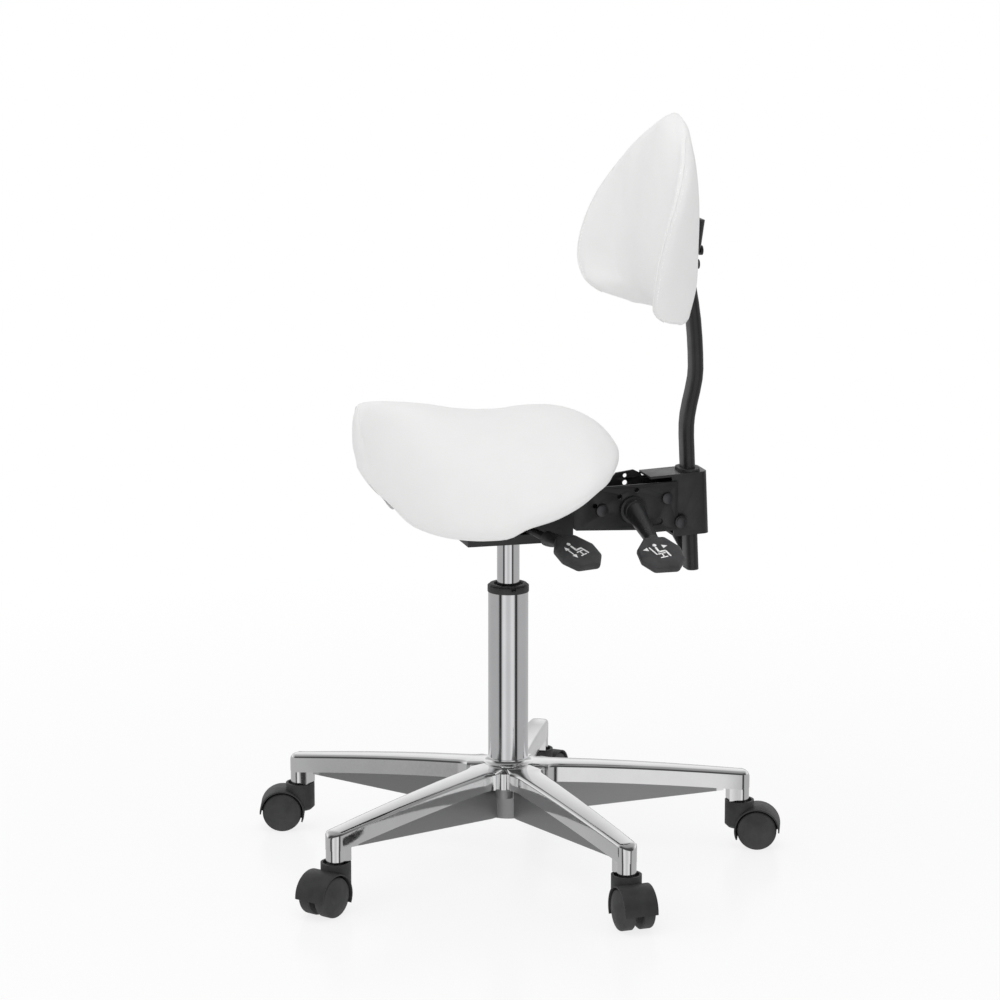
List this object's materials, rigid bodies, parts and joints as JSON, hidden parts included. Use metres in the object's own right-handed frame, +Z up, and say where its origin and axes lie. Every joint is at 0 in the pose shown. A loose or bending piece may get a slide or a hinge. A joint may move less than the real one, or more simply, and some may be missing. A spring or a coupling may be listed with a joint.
{
  "type": "saddle stool",
  "caption": "Saddle stool with curved backrest on a flat-oval upright, gas lift column, side levers and a polished star base on twin-wheel casters.",
  "frame": {"origin": "on the floor, on the axis of the column", "axes": "+Z up the column, the sitter faces -Y with the backrest on +Y, +X is the sitter's left, where the two paddle levers are"},
  "size_m": [0.6715, 0.6638, 0.932],
  "materials": {
    "polished_aluminium": "mirror-polished die casting",
    "chrome": "bright chrome plate",
    "black_plastic": "fine-grained matte",
    "wheel_plastic": "fine-grained matte",
    "lever_plastic": "satin",
    "black_lever": "satin black",
    "bright_steel": "zinc plated",
    "black_steel": "semi-gloss black powder coat",
    "black_bolt": "blackened steel",
    "black_rubber": "matte",
    "piston_plastic": "smooth",
    "shell_plastic": "moulded",
    "white_upholstery": "smooth white artificial leather"
  },
  "bodies": {
    "base": {"star_base": "polished_aluminium", "column_tube": "chrome", "column_cap": "black_plastic", "guide_bush": "black_plastic", "thrust_bearing": "bright_steel", "caster_stems": "bright_steel"},
    "lift_rod": {"piston_rod": "bright_steel", "retaining_clip": "bright_steel", "rubber_buffer": "black_rubber", "piston": "piston_plastic"},
    "seat_carrier": {"gas_cylinder": "chrome", "rod_gland": "black_plastic", "lift_socket": "bright_steel", "mechanism_housing": "black_steel", "seat_plate": "black_steel", "seat_bolts": "bright_steel", "seat_shell": "shell_plastic", "seat_cushion": "white_upholstery", "height_lever_pin": "bright_steel"},
    "valve": {"valve_pin": "bright_steel"},
    "height_lever": {"height_lever_rod": "black_lever", "height_lever_paddle": "lever_plastic"},
    "back_bracket": {"bracket_plate_left": "black_steel", "bracket_plate_right": "black_steel", "tilt_pivot_bolt": "black_bolt", "tilt_clamp_bolt": "black_bolt", "friction_discs": "bright_steel", "bracket_spacers": "bright_steel", "bracket_bolt": "black_bolt", "upright_holder": "black_steel", "upright_liner": "black_plastic", "height_clamp_bolt": "black_bolt"},
    "tilt_lever": {"tilt_lever_hub": "black_lever", "tilt_lever_paddle": "lever_plastic"},
    "height_clamp": {"height_clamp_lever": "black_lever"},
    "backrest": {"back_upright": "black_steel", "upright_end_caps": "black_plastic", "backrest_shell": "shell_plastic", "backrest_cushion": "white_upholstery", "backrest_screws": "bright_steel"},
    "caster_1": {"caster_hood_1": "black_plastic", "caster_axle_1": "bright_steel"},
    "wheel_1a": {"caster_wheel_1a": "wheel_plastic"},
    "wheel_1b": {"caster_wheel_1b": "wheel_plastic"},
    "caster_2": {"caster_hood_2": "black_plastic", "caster_axle_2": "bright_steel"},
    "wheel_2a": {"caster_wheel_2a": "wheel_plastic"},
    "wheel_2b": {"caster_wheel_2b": "wheel_plastic"},
    "caster_3": {"caster_hood_3": "black_plastic", "caster_axle_3": "bright_steel"},
    "wheel_3a": {"caster_wheel_3a": "wheel_plastic"},
    "wheel_3b": {"caster_wheel_3b": "wheel_plastic"},
    "caster_4": {"caster_hood_4": "black_plastic", "caster_axle_4": "bright_steel"},
    "wheel_4a": {"caster_wheel_4a": "wheel_plastic"},
    "wheel_4b": {"caster_wheel_4b": "wheel_plastic"},
    "caster_5": {"caster_hood_5": "black_plastic", "caster_axle_5": "bright_steel"},
    "wheel_5a": {"caster_wheel_5a": "wheel_plastic"},
    "wheel_5b": {"caster_wheel_5b": "wheel_plastic"}
  },
  "joints": [
    {"name": "seat_swivel", "type": "hinge", "parent": "base", "child": "lift_rod", "pos_m": [0, 0, 0], "axis": [0, 0, 1], "continuous": true},
    {"name": "seat_height", "type": "slide", "parent": "lift_rod", "child": "seat_carrier", "axis": [0, 0, 1], "range_m": [-0.045, 0.138]},
    {"name": "height_lever_lift", "type": "hinge", "parent": "seat_carrier", "child": "height_lever", "pos_m": [0.02869, 0.00877, 0.433], "axis": [0.2924, -0.9563, 0], "range_deg": [0, 6], "stiffness_Nm_per_rad": 3, "springref_deg": -114.59},
    {"name": "valve_press", "type": "slide", "parent": "seat_carrier", "child": "valve", "axis": [0, 0, -1], "range_m": [0, 0.0032]},
    {"name": "backrest_tilt", "type": "hinge", "parent": "seat_carrier", "child": "back_bracket", "pos_m": [0, 0.113, 0.446], "axis": [-1, 0, 0], "range_deg": [-5, 12]},
    {"name": "tilt_lever_turn", "type": "hinge", "parent": "back_bracket", "child": "tilt_lever", "pos_m": [0, 0.153, 0.445], "axis": [-1, 0, 0], "range_deg": [0, 30]},
    {"name": "height_clamp_turn", "type": "hinge", "parent": "back_bracket", "child": "height_clamp", "pos_m": [0, 0.216, 0.426], "axis": [-1, 0, 0], "range_deg": [0, 70]},
    {"name": "backrest_height", "type": "slide", "parent": "back_bracket", "child": "backrest", "axis": [0, -0.0454, 0.999], "range_m": [-0.038, 0.035]},
    {"name": "caster_1_swivel", "type": "hinge", "parent": "base", "child": "caster_1", "pos_m": [0.29131, 0.06512, 0.05], "axis": [0, 0, 1], "continuous": true},
    {"name": "wheel_1a_spin", "type": "hinge", "parent": "caster_1", "child": "wheel_1a", "pos_m": [0.31426, 0.06672, 0.025], "axis": [-0.0698, 0.9976, 0], "continuous": true},
    {"name": "wheel_1b_spin", "type": "hinge", "parent": "caster_1", "child": "wheel_1b", "pos_m": [0.31426, 0.06672, 0.025], "axis": [-0.0698, 0.9976, 0], "continuous": true},
    {"name": "caster_2_swivel", "type": "hinge", "parent": "base", "child": "caster_2", "pos_m": [0.02809, 0.29718, 0.05], "axis": [0, 0, 1], "continuous": true},
    {"name": "wheel_2a_spin", "type": "hinge", "parent": "caster_2", "child": "wheel_2a", "pos_m": [0.03633, 0.31865, 0.025], "axis": [-0.9336, 0.3584, 0], "continuous": true},
    {"name": "wheel_2b_spin", "type": "hinge", "parent": "caster_2", "child": "wheel_2b", "pos_m": [0.03633, 0.31865, 0.025], "axis": [-0.9336, 0.3584, 0], "continuous": true},
    {"name": "caster_3_swivel", "type": "hinge", "parent": "base", "child": "caster_3", "pos_m": [-0.27395, 0.11855, 0.05], "axis": [0, 0, 1], "continuous": true},
    {"name": "wheel_3a_spin", "type": "hinge", "parent": "caster_3", "child": "wheel_3a", "pos_m": [-0.29157, 0.13333, 0.025], "axis": [-0.6428, -0.766, 0], "continuous": true},
    {"name": "wheel_3b_spin", "type": "hinge", "parent": "caster_3", "child": "wheel_3b", "pos_m": [-0.29157, 0.13333, 0.025], "axis": [-0.6428, -0.766, 0], "continuous": true},
    {"name": "caster_4_swivel", "type": "hinge", "parent": "base", "child": "caster_4", "pos_m": [-0.1974, -0.22391, 0.05], "axis": [0, 0, 1], "continuous": true},
    {"name": "wheel_4a_spin", "type": "hinge", "parent": "caster_4", "child": "wheel_4a", "pos_m": [-0.20335, -0.24612, 0.025], "axis": [0.9659, -0.2588, 0], "continuous": true},
    {"name": "wheel_4b_spin", "type": "hinge", "parent": "caster_4", "child": "wheel_4b", "pos_m": [-0.20335, -0.24612, 0.025], "axis": [0.9659, -0.2588, 0], "continuous": true},
    {"name": "caster_5_swivel", "type": "hinge", "parent": "base", "child": "caster_5", "pos_m": [0.15195, -0.25693, 0.05], "axis": [0, 0, 1], "continuous": true},
    {"name": "wheel_5a_spin", "type": "hinge", "parent": "caster_5", "child": "wheel_5a", "pos_m": [0.16611, -0.27506, 0.025], "axis": [0.788, 0.6157, 0], "continuous": true},
    {"name": "wheel_5b_spin", "type": "hinge", "parent": "caster_5", "child": "wheel_5b", "pos_m": [0.16611, -0.27506, 0.025], "axis": [0.788, 0.6157, 0], "continuous": true}
  ],
  "couplings": [
    {"joint": "valve_press", "follows": "height_lever_lift", "m_per_rad": 0.0305}
  ]
}
